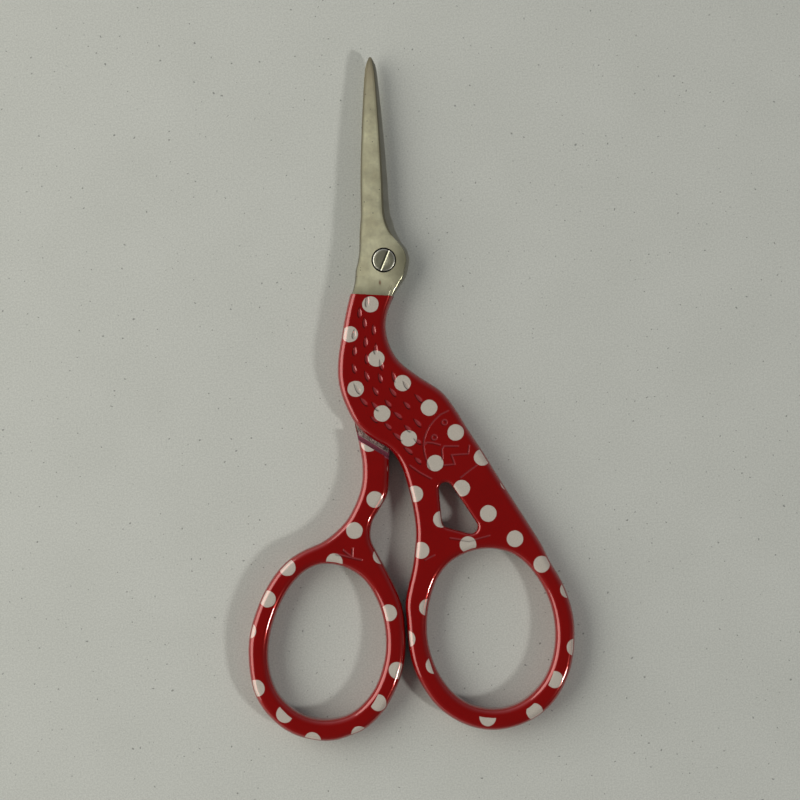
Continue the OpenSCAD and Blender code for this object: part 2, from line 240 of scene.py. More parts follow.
def windowPoints(steps=8):
    r = window["corner"]
    top = np.array(window["top"])
    left = top + [window["shift"], -(window["high"] - 2 * r - window["drop"])]
    right = left + [window["wide"] - 2 * r, -window["drop"]]
    corners = [top, left, right]

    def away(d):
        d = d / np.linalg.norm(d)
        return math.atan2(-d[0], d[1])

    points = []
    for i, c in enumerate(corners):
        start = away(c - corners[i - 1])
        turn = (away(corners[(i + 1) % 3] - c) - start) % (2 * math.pi)
        for k in range(steps + 1):
            a = start + turn * k / steps
            points.append(c + r * np.array([math.cos(a), math.sin(a)]))
    # points along the straight sides as well, so that the rim is even
    dense = []
    for p, q in zip(points, points[1:] + points[:1]):
        n = max(1, int(np.linalg.norm(q - p) / 0.5))
        dense += [p + (q - p) * k / n for k in range(n)]
    return np.array(dense)


# The rims' roundings, wide and high: fuller outside than in the openings
outerRim = (1.1, 1.4)
innerRim = (1.2, 1.35)
windowRim = (0.6, 0.85)


def frontHandle(name, inset=0.0):
    return handleForm(name, (smoothClosed(frontOutline), 1, *outerRim),
                      [(smoothClosed(rightHole), -1, *innerRim), (windowPoints(), -1, *windowRim)], inset)


def backHandle(name, inset=0.0):
    return handleForm(name, (smoothClosed(backOutline), 1, *outerRim),
                      [(smoothClosed(leftHole), -1, *innerRim)], inset)


def coatLineBox(name, above):
    lean = -math.radians(build["coatLean"])
    y0, y1 = (0, 30) if above else (-100, 0)
    box = prism(name, [(-60, y0), (60, y0), (60, y1), (-60, y1)], -2, 7)
    box.data.transform(Matrix.Translation((0, -build["coatTop"], 0)) @ Matrix.Rotation(lean, 4, "Z"))
    return box


def frontLap(name):
    arm = [(-0.8, -22.5), (-0.8, -26), (-0.9, -29.8), (-1.2, -33.2), (-1.3, -36.2)]
    arm = [(x + 0.4, y) for x, y in arm]
    poly = [(60, 60), (arm[0][0] + 30, arm[0][1] + 30)] + arm + [(-60, arm[-1][1]), (-60, 60)]
    return prism(name, poly, -1, build["groundZ"])


# The shoulder ledge on which the halves close, hollow at its foot
ledge = {"foot": (-3.68, -30.73), "turn": -34.5, "run": 0.75}


def backLap(name, back=0.0, above=0.0):
    half, top = build["halfThick"] + above, build["thick"]
    poly = [(60, half), (60, top + 1), (-back - ledge["run"] * 1.04, top + 1)]
    for t in np.linspace(1, 0, 9):
        # from the brow of the slope down to its foot
        poly.append((-back - ledge["run"] * math.sin(0.5 * math.pi * t), half + (top - half) * t ** 2.2))
    box = prism(name, poly, -60, 60)
    turn = Matrix.Rotation(math.radians(90 + ledge["turn"]), 4, "Z") @ Matrix.Rotation(math.radians(90), 4, "X")
    box.data.transform(Matrix.Translation((*ledge["foot"], 0)) @ turn)
    return box


# The rough strip of the lap's floor beside the ledge
roughStrip = {"long": 7.2, "wide": 1.5, "cell": 0.075, "deep": 0.11, "toneWide": 1.53, "toneHalf": 3.2}


def roughFloor():
    # the cutter that leaves the strip rough
    long, wide = roughStrip["long"], roughStrip["wide"]
    nu, nv = int(long / roughStrip["cell"]), int(wide / roughStrip["cell"])
    bpy.ops.object.select_all(action="DESELECT")
    bpy.ops.mesh.primitive_grid_add(x_subdivisions=nu, y_subdivisions=nv, size=1)
    obj = bpy.context.object
    rng = np.random.default_rng(11)
    co = coordsOf(obj)
    co[:, 0] *= long
    co[:, 1] = (co[:, 1] + 0.5) * wide + 0.02
    co[:, 2] = build["halfThick"] - rng.uniform(0.0, roughStrip["deep"], len(co))
    setCoords(obj, co)
    startEdit(obj)
    bpy.ops.mesh.extrude_region_move(TRANSFORM_OT_translate={"value": (0, 0, 0.6)})
    endEdit()
    turn = Matrix.Rotation(math.radians(ledge["turn"]), 4, "Z")
    obj.data.transform(Matrix.Translation((*ledge["foot"], 0)) @ turn)
    return obj


print("outlines ready")


# Fine surface of a handle: an even skin of small faces drawn onto the exact form, in mm
film = {"cell": 0.24, "sunk": 0.03, "wave": 9, "waves": 9, "pastGround": 0.004}


def skinned(form, name):
    skin = objectOf(name, form.data.copy())
    remesh = skin.modifiers.new("remesh", "REMESH")
    remesh.mode = "VOXEL"
    remesh.voxel_size = film["cell"]
    wrap = skin.modifiers.new("wrap", "SHRINKWRAP")
    wrap.target = form
    wrap.wrap_method = "NEAREST_SURFACEPOINT"
    applyAll(skin)
    bpy.data.objects.remove(form, do_unlink=True)
    return skin


def subdivideNear(obj, test):
    # splits each face whose middle passes the test into four
    onlyActive(obj)
    centres = np.zeros(len(obj.data.polygons) * 3)
    obj.data.polygons.foreach_get("center", centres)
    chosen = test(centres.reshape(-1, 3))
    bpy.ops.object.mode_set(mode="EDIT")
    bpy.ops.mesh.select_mode(type="FACE")
    bpy.ops.mesh.select_all(action="DESELECT")
    bpy.ops.object.mode_set(mode="OBJECT")
    obj.data.polygons.foreach_set("select", chosen)
    bpy.ops.object.mode_set(mode="EDIT")
    bpy.ops.mesh.subdivide(number_cuts=1, quadcorner="STRAIGHT_CUT")
    bpy.ops.mesh.select_all(action="DESELECT")
    bpy.ops.object.mode_set(mode="OBJECT")


# Feather marks struck into neck and body: drop shapes, each at (x, y) in mm
feathers = {
    "long": 1.75, "wide": 0.88, "deep": 0.12,
    "at": [(-4.59, -8.54), (-3.86, -10.28), (-2.42, -11.55), (-3.89, -13.49), (-5.83, -14.88),
           (-2.28, -14.77), (-3.9, -16.36), (-1.52, -17.52), (-6.12, -17.82), (-4.08, -19.22),
           (-1.85, -19.69), (0.46, -19.59), (-2.79, -21.83), (0.12, -22.18), (2.39, -21.14),
           (-4.85, -23.47), (-0.79, -24.03), (-2.97, -24.35), (2.34, -24.52), (4.38, -23.46),
           (-3.27, -26.53), (0.72, -26.11), (-1.03, -27.85), (3.92, -27.56), (2.23, -28.4),
           (0.42, -29.63), (3.75, -30.64), (2.1, -32.1), (3.61, -33.89), (-3.2, -6.7), (-5.75, -12.1),
           (-5.81, -21.25)],
}

# Fine lines cut into the front half: wing, tail and two small rings
engraving = {
    "wide": 0.3, "deep": 0.05,
    "lines": [
        [(9.18, -25.88), (7.79, -26.47), (6.83, -27.27), (5.9, -28.29), (5.24, -29.43),
         (4.88, -30.42), (4.73, -31.42), (4.77, -32.44), (4.98, -33.55), (5.7, -35.54)],
        [(4.78, -31.43), (5.3, -30.95), (6.3, -31.1), (7.47, -31.5)],
        [(7.76, -33.9), (7.76, -32.29), (8.1, -31.75), (10.49, -31.89)],
        [(12.35, -31.9), (12.09, -33.3), (9.28, -33.3), (9.75, -34.9), (7.89, -34.95)],
        [(2.21, -34.64), (3.82, -35.93), (5.61, -37.05)],
        [(13.44, -35.28), (11.91, -36.27), (10.58, -37.2)],
        [(8.2, -47.2), (11.5, -47.9), (14.8, -47.2)],
        [(3.8, -50.6), (5.4, -49.9)],
    ],
    "rings": [((8.45, -27.77), 0.42), ((6.58, -30.19), 0.42)],
}

# A three-toed foot at the top of the left loop
foot = {
    "wide": 0.32, "deep": 0.08,
    "lines": [[(-11.05, -48.67), (-9.01, -49.31), (-6.86, -49.95)],
              [(-8.25, -47.9), (-8.43, -49.5)],
              [(-9.79, -48.16), (-8.34, -49.45)]],
    "rings": [],
}


def leanAt(y):
    # the feather marks stand upright on the neck and lean over on the body
    t = min(max((-13 - y) / 14, 0), 1)
    return math.radians(-4 + 50 * t * t * (3 - 2 * t))


def toLines(xy, lines, rings):
    # distance of each point to the nearest drawn line
    best = np.full(len(xy), 1e9)
    for line in lines:
        for p, q in zip(line, line[1:]):
            p, q = np.array(p), np.array(q)
            d = q - p
            t = np.clip(((xy - p) @ d) / (d @ d), 0, 1)
            best = np.minimum(best, np.linalg.norm(xy - p - t[:, None] * d, axis=1))
    for centre, radius in rings:
        best = np.minimum(best, np.abs(np.linalg.norm(xy - np.array(centre), axis=1) - radius))
    return best


def refineNear(obj, reaches, distance):
    # finer faces within reach of the marks, on the upper face only
    for reach in reaches:
        subdivideNear(obj, lambda centres: (distance(centres[:, :2]) < reach)
                      & (centres[:, 2] > build["thick"] - 0.4))


def toFeathers(xy):
    return np.min([np.sqrt(((xy - np.array(p)) ** 2).sum(1)) for p in feathers["at"]], axis=0)


def eachFeather(xy):
    # for each mark: 0 in its middle to 1 at its rim, and how far across it a point lies
    for i, (x, y) in enumerate(feathers["at"]):
        a = leanAt(y) + math.radians(5 * math.sin(7.3 * i))
        d = xy - (x, y)
        length = feathers["long"] * (1 + 0.12 * math.sin(3.1 * i))
        s = d @ (math.sin(a), -math.cos(a)) / length + 0.5
        half = 0.5 * feathers["wide"] * (0.5 + 0.55 * np.clip(s, 0, 1))
        side = d @ (math.cos(a), math.sin(a)) / half
        yield (2 * s - 1) ** 2 + side ** 2, side


def nearTop(co, low=0.9, fade=0.6):
    # 0 on a handle's sides to 1 on its upper face
    return np.clip((co[:, 2] - build["thick"] + low) / fade, 0, 1)


def strikeFeathers(obj):
    co = coordsOf(obj)
    top = nearTop(co)
    for r, _ in eachFeather(co[:, :2]):
        co[:, 2] -= top * feathers["deep"] * np.clip(1 - r, 0, 1) ** 1.3
    setCoords(obj, co)


def engrave(obj, drawing):
    co = coordsOf(obj)
    top = nearTop(co)
    d = toLines(co[:, :2], drawing["lines"], drawing["rings"]) / (0.5 * drawing["wide"])
    co[:, 2] -= top * drawing["deep"] * np.clip(1 - d * d, 0, 1)
    setCoords(obj, co)


def toneMarks(obj, drawing, opening, struckToo):
    # where a mark is painted paler, partly as thin print and partly as painted sheen that is brighter on one
    # side of a feather mark; where painted shade runs along one side of its rim; and how far a point is from
    # the unprinted rim of the finger loop
    co = coordsOf(obj)
    xy = co[:, :2]
    half = 0.5 * drawing["wide"]
    thinPrintAndSheen = 0.75 * np.clip(1.2 - toLines(xy, drawing["lines"], drawing["rings"]) / half, 0, 1)
    beside = toLines(xy + (0.17, 0.15), drawing["lines"], drawing["rings"])
    rimShade = 0.7 * np.clip(1.2 - beside / (0.7 * half), 0, 1)
    if struckToo:
        # a feather mark's painted sheen is brighter on one side, and its painted shade lies on the other
        for r, side in eachFeather(xy):
            thinPrintAndSheen = np.maximum(thinPrintAndSheen, np.clip((0.85 - r) / 0.5, 0, 1) * np.clip(0.75 + 0.4 * side, 0, 1))
            rim = np.clip(1.4 - np.abs(np.sqrt(r) - 0.98) / 0.2, 0, 1)
            rimShade = np.maximum(rimShade, rim * np.clip(0.25 - 1.3 * side, 0, 1))
    top = nearTop(co, 0.35, 0.15)
    ring = np.array(opening, float)
    middle, reach = 0.5 * (ring.min(0) + ring.max(0)), 0.5 * np.ptp(ring[:, 1])
    below = np.clip((middle[1] - xy[:, 1]) / reach, 0, 1)
    fromRim = toLines(xy, [[tuple(q) for q in ring] + [tuple(ring[0])]], []) / (0.5 + 0.95 * below ** 2)
    for label, values in (("thinPrintAndSheen", thinPrintAndSheen * top), ("rimShade", rimShade * top * (1 - thinPrintAndSheen)),
                          ("fromRim", np.minimum(fromRim, 3))):
        layer = obj.data.attributes.new(label, "FLOAT", "POINT")
        layer.data.foreach_set("value", values)


def settle(obj, seed):
    # the polished forging is never quite flat: the skin sinks here and there
    co, no = coordsOf(obj), coordsOf(obj, "normal")
    wave = np.zeros(len(co))
    rng = np.random.default_rng(seed)
    for _ in range(film["waves"]):
        direction = rng.normal(size=3)
        direction[2] *= 0.4
        direction /= np.linalg.norm(direction)
        length = film["wave"] * rng.uniform(0.6, 1.7)
        wave += np.sin(co @ direction * 2 * math.pi / length + rng.uniform(0, 6.28))
    wave = 0.5 + 0.5 * np.tanh(wave / 3)
    setCoords(obj, co - no * (film["sunk"] * wave)[:, None])


def makeCoat(name, handle, lap, innerLap, dress):
    # the skin with its marks, less the same form taken in by the coat's thickness; that form
    # stands a little past the ground face, so that no film is left lying on the bare steel
    coat = skinned(handle(name + "Form"), name)
    dress(coat)
    inner = handle(name + "Inner", build["coat"])
    if innerLap:
        boolean(inner, innerLap)
    boolean(coat, inner)
    boolean(coat, lap)
    boolean(coat, coatLineBox(name + "Line", True))
    return coat


def dressFront(coat):
    refineNear(coat, (1.1, 0.98), toFeathers)
    refineNear(coat, (0.45, 0.24), lambda xy: toLines(xy, engraving["lines"], engraving["rings"]))
    settle(coat, 4)
    strikeFeathers(coat)
    engrave(coat, engraving)


def dressBack(coat):
    refineNear(coat, (0.45, 0.24), lambda xy: toLines(xy, foot["lines"], foot["rings"]))
    settle(coat, 7)
    engrave(coat, foot)


frontCoat = makeCoat("frontCoat", frontHandle, frontLap("lap"), None, dressFront)
toneMarks(frontCoat, engraving, smoothClosed(rightHole, 2), True)
print("front coat", trianglesOf(frontCoat))
innerLap = backLap("innerLap", build["coat"], film["pastGround"])
backCoat = makeCoat("backCoat", backHandle, backLap("lap"), innerLap, dressBack)
toneMarks(backCoat, foot, smoothClosed(leftHole, 2), False)
print("back coat", trianglesOf(backCoat))


# Blades. A row runs across: (place along Y, edge, spine, thickness, sharpness), lying on the ground face
blade = {
    "long": 34.3, "rootWide": 3.85, "tipWide": 1.75, "pointWide": 0.4, "pointThick": 0.6,
    "edgeThick": 0.12, "hollow": 0.06, "overlap": 0.95,
    "rootY": 8.5, "nearTip": 3.0, "tipX": -0.2, "rootEdgeX": 0.5, "bossR": 3.8, "backBossOut": 0.45,
    "across": 34, "spineRows": 3, "steps": 8,
    "chamfer": (0.24, 0.22), "rise": 0.085, "crown": 0.04, "fall": 0.3, "roll": (0.2, 0.24),
    "bossChamfer": 0.8, "underCoat": 0.07,
}


def bladeTable(back):
    half, tip = build["halfThick"], blade["pointThick"]

    def place(s):
        wide = blade["tipWide"] + (blade["rootWide"] - blade["tipWide"]) * (1 - s ** 1.7)
        edge = blade["rootEdgeX"] - 0.08 * s + 0.6 * s * (1 - s)
        if back:
            inner = edge - wide + blade["overlap"] * (1 - 0.6 * s)
            edge, spine = -inner, -inner - wide
        else:
            spine = edge - wide
        y = blade["rootY"] + s * (blade["long"] - blade["nearTip"] - blade["rootY"])
        return (y, edge, spine, half + (tip - half) * (0.12 + 0.76 * s), 1)

    r = blade["bossR"] + (blade["backBossOut"] if back else 0)
    turns = [math.radians(a) for a in (-22, 0, 22, 43)]
    side = -1 if back else 1
    if back:
        low = [(-9, 6.3, -0.1), (-6.1, 5.5, -1.2), (-4.3, 4.8, -2.5), (-2.9, 4.4, -3.5)]
        boss = [(r * math.sin(a), e, -r * math.cos(a)) for a, e in zip(turns, (4.1, 3.9, 3.75, 3.4))]
        high = [(4.7, 3, -2.3, half, 0.1), (6.3, 2.7, -1.9, 0.97 * half, 0.6)]
    else:
        low = [(-9, 0.2, -6.7), (-6.1, 1.05, -6), (-4.3, 2.1, -5.4), (-2.9, 3.05, -5.05)]
        boss = [(r * math.sin(a), r * math.cos(a), s)
                for a, s in zip(turns, (-4.85, -4.42, -4.12, -3.97))]
        high = [(4.4, 1.5, -3.82, half, 0.1), (6.3, 0.8, -3.6, 0.97 * half, 0.6)]
    rows = [(*row, half, 0) for row in low + boss] + high
    rows += [place(k / 5) for k in range(6)]
    x, end = side * blade["tipX"], blade["long"]
    rows += [(end - 1.2, x + 0.4, x - 0.75, 1.15 * tip, 1),
             (end, x + blade["pointWide"] / 2, x - blade["pointWide"] / 2, tip, 1)]
    return np.array(rows)


def smoothRows(table, steps):
    p = np.vstack([2 * table[0] - table[1], table, 2 * table[-1] - table[-2]])
    rows = []
    for i in range(len(p) - 3):
        rows += [between(*p[i:i + 4], k / steps) for k in range(steps)]
    rows.append(p[-2])
    rows = np.array(rows)
    rows[:, 4] = np.clip(rows[:, 4], 0, 1)
    return rows


def rolledEdge(d, wide, high):
    # how far a rounded edge has dropped at the distance d from the side
    t = np.clip(1 - d / wide, 0, 1)
    return high * (1 - np.sqrt(np.clip(1 - t * t, 0, 1)))


def chamfered(d, wide, high):
    return high * np.clip(1 - d / wide, 0, 1)


def makeBlade(name, back):
    rows = smoothRows(bladeTable(back), blade["steps"])
    nu, nv = blade["across"] + 1, len(rows)
    bpy.ops.object.select_all(action="DESELECT")
    bpy.ops.mesh.primitive_grid_add(x_subdivisions=nu - 1, y_subdivisions=nv - 1, size=2)
    obj = bpy.context.object
    obj.name = name
    co = coordsOf(obj)
    iu = np.rint((co[:, 0] + 1) / 2 * (nu - 1)).astype(int)
    iv = np.rint((co[:, 1] + 1) / 2 * (nv - 1)).astype(int)
    y, edge, spine, thick, sharp = rows[iv].T
    wide = edge - spine
    # 0 at the edge, 1 at the spine; the last rows lie on the chamfer along the spine
    most, part = blade["chamfer"]
    chamfer = np.minimum(most, part * wide)
    last = nu - 1 - blade["spineRows"]
    inner = 1 - chamfer / wide
    u = np.where(iu <= last, inner * (0.5 - 0.5 * np.cos(math.pi * iu / last)),
                 inner + (1 - inner) * (iu - last) / blade["spineRows"])
    toEdge, toSpine = u * wide, (1 - u) * wide
    rise = (0.85 * (1 - np.clip(1 - u / blade["rise"], 0, 1) ** 2)
            + 0.15 * np.sin(0.5 * math.pi * np.minimum(1, 1.25 * u)))
    bladeTop = (blade["edgeThick"] + (thick - blade["edgeThick"]) * rise
                - chamfered(toSpine, chamfer, 0.4 * thick))
    # the boss is gently crowned, and rolls off towards its edge below the screw
    crown = blade["crown"] * ((u - 0.5) * 2) ** 2 + blade["fall"] * np.clip((0.45 - u) / 0.45, 0, 1) ** 2
    low = np.clip((0.6 - y) / 1.5, 0.3, 1)
    rollWide, rollHigh = blade["roll"]
    bossTop = (thick - crown - rolledEdge(toEdge, rollWide * low, rollHigh * low)
               - chamfered(toSpine, chamfer, blade["bossChamfer"]))
    bossTop -= blade["underCoat"] * np.clip((-3.2 - y) / 1.6, 0, 1)  # the coat stands proud of the steel
    top = sharp * bladeTop + (1 - sharp) * bossTop
    setCoords(obj, np.c_[edge - u * wide, y, top])
    under = sharp * blade["hollow"] * 4 * u * (1 - u)

    # the outer face is extruded down and its copy laid on the ground face
    startEdit(obj)
    bpy.ops.mesh.extrude_region_move(TRANSFORM_OT_translate={"value": (0, 0, -5)})
    endEdit(False)
    co = coordsOf(obj)
    new = np.nonzero(co[:, 2] < -1)[0]
    old = np.nonzero(co[:, 2] >= -1)[0]
    where = {(round(x, 4), round(y, 4)): k for k, (x, y) in enumerate(co[old][:, :2])}
    match = [old[where[(round(x, 4), round(y, 4))]] for x, y in co[new][:, :2]]
    height = np.zeros(len(co))
    height[:len(under)] = under
    co[new, 2] = height[match]
    if back:
        co[:, 0] *= -1
        co[:, 2] = build["halfThick"] - co[:, 2]
    else:
        co[:, 2] += build["groundZ"]
    setCoords(obj, co)
    startEdit(obj)
    endEdit()
    return obj


screw = {
    "headD": 3.75, "headHigh": 0.9, "shoulderD": 2.4, "endD": 2.0, "turnFit": 0.04, "play": 0.03,
    "gap": 0.18, "slotWide": 0.3, "slotDeep": 0.42, "slotTurn": 64, "wearAndShade": (0.2, 0.09),
    "endRecess": 0.1, "seatBreak": (0.05, 0.05), "round": 96,
}


def roundCutter(name, radius, low, high):
    bpy.ops.object.select_all(action="DESELECT")
    bpy.ops.mesh.primitive_cylinder_add(vertices=screw["round"], radius=radius, depth=high - low,
                                        location=(0, 0, (low + high) / 2))
    obj = bpy.context.object
    obj.name = name
    bpy.ops.object.transform_apply(location=True, rotation=False, scale=False)
    return obj


def frontSteelPiece():
    obj = boolean(makeBlade("frontSteel", False), coatLineBox("line", False))
    core = boolean(frontHandle("core", build["core"]), frontLap("lap"))
    boolean(obj, core, "UNION")
    top = build["thick"]
    boolean(obj, roundCutter("bore", screw["shoulderD"] / 2 + screw["turnFit"], 1, top + 1))
    seat, seatR = top - screw["headHigh"] - screw["play"], screw["headD"] / 2 + screw["gap"]
    boolean(obj, roundCutter("seat", seatR, seat, top + 1))
    # the seat's rim is broken by a small countersink
    wide, deep = screw["seatBreak"]
    countersink = roundCutter("countersink", 1, top - deep, top + 1)
    co = coordsOf(countersink)
    co[:, :2] *= np.where(co[:, 2] > top, seatR + wide * (1 + deep) / deep, seatR)[:, None]
    setCoords(countersink, co)
    return boolean(obj, countersink)


def backSteelPiece():
    obj = boolean(makeBlade("backSteel", True), coatLineBox("line", False))
    core = boolean(backHandle("core", build["core"]), backLap("lap", build["core"]))
    boolean(obj, core, "UNION")
    boolean(obj, roughFloor())
    boolean(obj, roundCutter("hole", screw["endD"] / 2, -1, 3))
    return obj


def screwPiece():
    # turned outline spun round the pivot, then the driver slot
    top, head, seat = build["thick"], screw["headD"] / 2, build["thick"] - screw["headHigh"]
    end, shoulder, low = screw["endD"] / 2, screw["shoulderD"] / 2, screw["endRecess"]
    half = build["halfThick"]
    outline = [(0, low), (end - 0.1, low), (end, low + 0.1), (end, half), (shoulder, half), (shoulder, seat),
               (head, seat), (head, top - 0.17), (head - 0.03, top - 0.09), (head - 0.09, top - 0.035),
               (head - 0.17, top - 0.01), (head - 0.6, top - 0.005), (0, top)]
    mesh = bpy.data.meshes.new("pivotScrew")
    mesh.from_pydata([(x, 0, z) for x, z in outline], [(i, i + 1) for i in range(len(outline) - 1)], [])
    obj = objectOf("pivotScrew", mesh)
    startEdit(obj)
    bpy.ops.mesh.spin(steps=screw["round"], angle=2 * math.pi, center=(0, 0, 0), axis=(0, 0, 1))
    bpy.ops.mesh.select_all(action="SELECT")
    bpy.ops.mesh.remove_doubles(threshold=0.0005)
    endEdit()
    w = screw["slotWide"] / 2
    wornWide, wornDeep = screw["wearAndShade"]
    section = [(-w, -screw["slotDeep"]), (w, -screw["slotDeep"]), (w, 0.5), (-w - wornWide, 0.5),
               (-w - wornWide, 0), (-w, -wornDeep)]
    slot = prism("slot", section, -5, 5)
    stand = Matrix.Rotation(math.radians(90), 4, "Z") @ Matrix.Rotation(math.radians(90), 4, "X")
    turn = Matrix.Rotation(math.radians(screw["slotTurn"]), 4, "Z")
    slot.data.transform(Matrix.Translation((0, 0, top)) @ turn @ stand)
    boolean(obj, slot)
    bevel = obj.modifiers.new("rims", "BEVEL")
    bevel.width = 0.02
    bevel.segments = 2
    bevel.limit_method = "ANGLE"
    bevel.angle_limit = math.radians(40)
    applyAll(obj)
    return obj


frontSteel = frontSteelPiece()
backSteel = backSteelPiece()
pivotScrew = screwPiece()
print("steel", trianglesOf(frontSteel), trianglesOf(backSteel), trianglesOf(pivotScrew))


# Materials
def feed(tree, socket, value):
    # a number, vector or colour is typed in, and an output is wired
    if isinstance(value, (int, float)):
        socket.default_value = value
    elif isinstance(value, tuple):
        socket.default_value = (*value, 1) if socket.type == "RGBA" else value
    elif value is not None:
        tree.links.new(value, socket)


def addNode(tree, kind, inputs=None, **settings):
    # nodes stand in rows of ten, in the order in which they are made
    row, column = divmod(len(tree.nodes), 10)
    node = tree.nodes.new(kind)
    node.location = (200 * column - 1800, -260 * row)
    for key, value in settings.items():
        setattr(node, key, value)
    for label, value in (inputs or {}).items():
        feed(tree, node.inputs[label], value)
    return node


def newMaterial(name, look):
    material = bpy.data.materials.new(name)
    material.use_nodes = True
    tree = material.node_tree
    shader = tree.nodes["Principled BSDF"].inputs
    for label, value in look.items():
        feed(tree, shader[label], value)
    return material, tree, shader


def newGroup(name, inputs, outputs):
    tree = bpy.data.node_groups.new(name, "ShaderNodeTree")
    for label, kind, value in inputs:
        socket = tree.interface.new_socket(label, in_out="INPUT", socket_type="NodeSocket" + kind)
        if value is not None:
            socket.default_value = value
    for label in outputs:
        tree.interface.new_socket(label, in_out="OUTPUT", socket_type="NodeSocketFloat")
    return tree, addNode(tree, "NodeGroupInput").outputs, addNode(tree, "NodeGroupOutput").inputs


def placeGroup(tree, group, **values):
    return addNode(tree, "ShaderNodeGroup", values, node_tree=group).outputs


def mathNode(tree, operation, a, b=None):
    return addNode(tree, "ShaderNodeMath", {0: a, 1: b}, operation=operation).outputs[0]


def times(tree, a, b):
    return mathNode(tree, "MULTIPLY", a, b)


def minus(tree, a, b):
    return mathNode(tree, "SUBTRACT", a, b)


def vectorNode(tree, operation, a, b=None):
    node = addNode(tree, "ShaderNodeVectorMath", {0: a, 1: b}, operation=operation)
    return node.outputs["Value" if operation in ("LENGTH", "DISTANCE", "DOT_PRODUCT") else "Vector"]


def split(tree, vector):
    return addNode(tree, "ShaderNodeSeparateXYZ", {0: vector}).outputs


def flatVector(tree, x, y):
    return addNode(tree, "ShaderNodeCombineXYZ", {0: x, 1: y}).outputs[0]


def noiseNode(tree, vector, scale, detail=2.0, rough=0.5):
    inputs = {"Vector": vector, "Scale": scale, "Detail": detail, "Roughness": rough}
    return addNode(tree, "ShaderNodeTexNoise", inputs).outputs["Fac"]


def rampNode(tree, fac, low, high, a=(0, 0, 0), b=(1, 1, 1)):
    node = addNode(tree, "ShaderNodeValToRGB", {"Fac": fac})
    for element, position, colour in zip(node.color_ramp.elements, (low, high), (a, b)):
        element.position, element.color = position, (*colour, 1)
    return node.outputs["Color"]


def rangeNode(tree, value, low, high, toLow=0.0, toHigh=1.0, kind="SMOOTHSTEP"):
    inputs = {"Value": value, "From Min": low, "From Max": high, "To Min": toLow, "To Max": toHigh}
    return addNode(tree, "ShaderNodeMapRange", inputs, interpolation_type=kind).outputs[0]


def mixColour(tree, fac, a, b, blend="MIX"):
    return addNode(tree, "ShaderNodeMix", {0: fac, 6: a, 7: b}, data_type="RGBA", blend_type=blend).outputs[2]


def attributeNode(tree, name):
    return addNode(tree, "ShaderNodeAttribute", attribute_name=name).outputs["Fac"]


def objectPoint(tree):
    return addNode(tree, "ShaderNodeTexCoord").outputs["Object"]


def faceOn(tree):
    # 1 where a face looks straight up or down, 0 on the sides
    normal = addNode(tree, "ShaderNodeTexCoord").outputs["Normal"]
    return mathNode(tree, "ABSOLUTE", split(tree, normal)[2])


def fromPivot(tree, point):
    return vectorNode(tree, "LENGTH", vectorNode(tree, "MULTIPLY", point, (1, 1, 0)))


def addBump(tree, shader, height, strength, deep, sockets=("Normal",)):
    bump = addNode(tree, "ShaderNodeBump", {"Strength": strength, "Distance": deep, "Height": height})
    for label in sockets:
        feed(tree, shader[label], bump.outputs[0])


def makeGrain():
    # fine lines left by the belt, with a broad unevenness over them
    tree, given, out = newGroup(
        "grain", [("Vector", "Vector", None), ("Stretch", "Vector", (1, 0.1, 1)), ("Fine", "Float", 6000.0)],
        ("Lines", "Broad"))
    stretched = vectorNode(tree, "MULTIPLY", given["Vector"], given["Stretch"])
    feed(tree, out["Lines"], noiseNode(tree, stretched, given["Fine"], 3))
    feed(tree, out["Broad"], noiseNode(tree, given["Vector"], 420, 3, 0.6))
    return tree


def makePatina():
    # brownish clouds and a few small dark pits
    tree, given, out = newGroup(
        "patina", [("Vector", "Vector", None), ("Cloud", "Float", 300.0), ("Pits", "Float", 1800.0)],
        ("Stain", "Pit"))
    cloud = noiseNode(tree, given["Vector"], given["Cloud"], 4, 0.65)
    feed(tree, out["Stain"], rampNode(tree, cloud, 0.42, 0.78))
    cells = addNode(tree, "ShaderNodeTexVoronoi", {"Vector": given["Vector"], "Scale": given["Pits"]}).outputs
    inside = mathNode(tree, "LESS_THAN", cells["Distance"], 0.16)
    pick = addNode(tree, "ShaderNodeSeparateColor", {0: cells["Color"]}).outputs[0]
    feed(tree, out["Pit"], times(tree, inside, mathNode(tree, "GREATER_THAN", pick, 0.9)))
    return tree


# Printed dots: the nearest point of a slanting lattice, in mm, with the film's own stretch
dots = {
    "across": (4.19, -4.5), "down": (-3.74, -4.98), "radius": 1.38, "soft": 0.05,
    "stretch": 0.0006, "middle": -42, "shift": 0.3, "wobble": 0.12,
}


